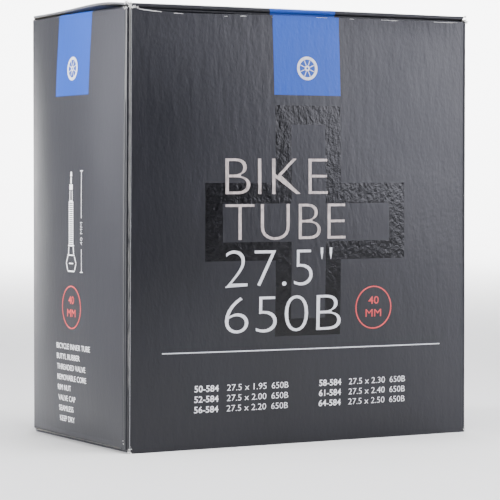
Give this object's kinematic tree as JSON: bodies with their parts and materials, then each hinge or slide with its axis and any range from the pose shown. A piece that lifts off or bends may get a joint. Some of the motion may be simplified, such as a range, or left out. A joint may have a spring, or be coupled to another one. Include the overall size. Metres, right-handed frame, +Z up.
{
  "type": "boxed bicycle inner tube",
  "caption": "Folded butyl bicycle inner tube with a threaded valve, packed in a tuck-end folding carton that opens at both ends.",
  "frame": {"origin": "centre of the rectangle that the carton stands on", "axes": "+Z up, front panel towards -Y, seam corner and left side panel towards -X"},
  "size_m": [0.099, 0.058, 0.11],
  "materials": {
    "printed_board": "folding boxboard, matt dark grey print outside and pale uncoated inside",
    "glue_film": "dried dispersion glue, semi-clear",
    "butyl": "matt black butyl with a light dusting of talc",
    "valve_metal": "nickel plated brass, satin",
    "core_metal": "plain turned brass, satin",
    "seal_rubber": "red moulded seal rubber",
    "cap_plastic": "moulded black plastic, satin",
    "band_rubber": "natural rubber band, tan"
  },
  "bodies": {
    "carton": {"front_panel": "printed_board", "right_side_panel": "printed_board", "back_panel": "printed_board", "left_side_panel": "printed_board", "seam_flap": "printed_board", "seam_adhesive": "glue_film"},
    "lid": {"lid_panel": "printed_board"},
    "lid_tuck": {"lid_tuck_flap": "printed_board"},
    "top_dust_left": {"top_dust_flap_left": "printed_board"},
    "top_dust_right": {"top_dust_flap_right": "printed_board"},
    "base": {"base_panel": "printed_board"},
    "base_tuck": {"base_tuck_flap": "printed_board"},
    "base_dust_left": {"base_dust_flap_left": "printed_board"},
    "base_dust_right": {"base_dust_flap_right": "printed_board"},
    "tube": {"tube_body": "butyl", "valve_base_patch": "butyl", "valve_stem": "valve_metal", "valve_core_body": "core_metal", "core_gasket": "seal_rubber", "rubber_band": "band_rubber"},
    "rim_nut": {"rim_nut": "valve_metal"},
    "valve_cap": {"valve_cap": "cap_plastic"},
    "core_pin": {"core_pin": "core_metal", "pin_seal": "seal_rubber"},
    "lock_nut": {"lock_nut": "core_metal"}
  },
  "joints": [
    {"name": "lid_hinge", "type": "hinge", "parent": "carton", "child": "lid", "pos_m": [0, 0.029, 0.11], "axis": [-1, 0, 0], "range_deg": [0, 170]},
    {"name": "lid_tuck_crease", "type": "hinge", "parent": "lid", "child": "lid_tuck", "pos_m": [0, -0.028, 0.11], "axis": [-1, 0, 0], "range_deg": [0, 102]},
    {"name": "top_dust_left_crease", "type": "hinge", "parent": "carton", "child": "top_dust_left", "pos_m": [-0.0495, 0, 0.10915], "axis": [0, -1, 0], "range_deg": [0, 85]},
    {"name": "top_dust_right_crease", "type": "hinge", "parent": "carton", "child": "top_dust_right", "pos_m": [0.0495, 0, 0.10915], "axis": [0, 1, 0], "range_deg": [0, 85]},
    {"name": "base_hinge", "type": "hinge", "parent": "carton", "child": "base", "pos_m": [0, 0.029, 0], "axis": [1, 0, 0], "range_deg": [0, 170]},
    {"name": "base_tuck_crease", "type": "hinge", "parent": "base", "child": "base_tuck", "pos_m": [0, -0.028, 0], "axis": [1, 0, 0], "range_deg": [0, 102]},
    {"name": "base_dust_left_crease", "type": "hinge", "parent": "carton", "child": "base_dust_left", "pos_m": [-0.0495, 0, 0.00085], "axis": [0, 1, 0], "range_deg": [0, 85]},
    {"name": "base_dust_right_crease", "type": "hinge", "parent": "carton", "child": "base_dust_right", "pos_m": [0.0495, 0, 0.00085], "axis": [0, -1, 0], "range_deg": [0, 85]},
    {"name": "tube_lift", "type": "slide", "parent": "carton", "child": "tube", "axis": [0, 0, 1], "range_m": [0, 0.017]},
    {"name": "rim_nut_spin", "type": "hinge", "parent": "tube", "child": "rim_nut", "pos_m": [-0.0072, 0.0026, 0.07379], "axis": [0.9397, 0, 0.342], "continuous": true},
    {"name": "valve_cap_pull", "type": "slide", "parent": "tube", "child": "valve_cap", "axis": [0.9397, 0, 0.342], "range_m": [0, 0.0145]},
    {"name": "core_pin_press", "type": "slide", "parent": "tube", "child": "core_pin", "axis": [0.9397, 0, 0.342], "range_m": [-0.0015, 0]},
    {"name": "lock_nut_spin", "type": "hinge", "parent": "core_pin", "child": "lock_nut", "pos_m": [0.02348, 0.0026, 0.08495], "axis": [0.9397, 0, 0.342], "continuous": true}
  ],
  "couplings": [
    {"joint": "lid_tuck_crease", "follows": "lid_hinge", "ratio": 0.6},
    {"joint": "top_dust_left_crease", "follows": "lid_hinge", "ratio": 0.5},
    {"joint": "top_dust_right_crease", "follows": "lid_hinge", "ratio": 0.5},
    {"joint": "base_tuck_crease", "follows": "base_hinge", "ratio": 0.6},
    {"joint": "base_dust_left_crease", "follows": "base_hinge", "ratio": 0.5},
    {"joint": "base_dust_right_crease", "follows": "base_hinge", "ratio": 0.5}
  ]
}
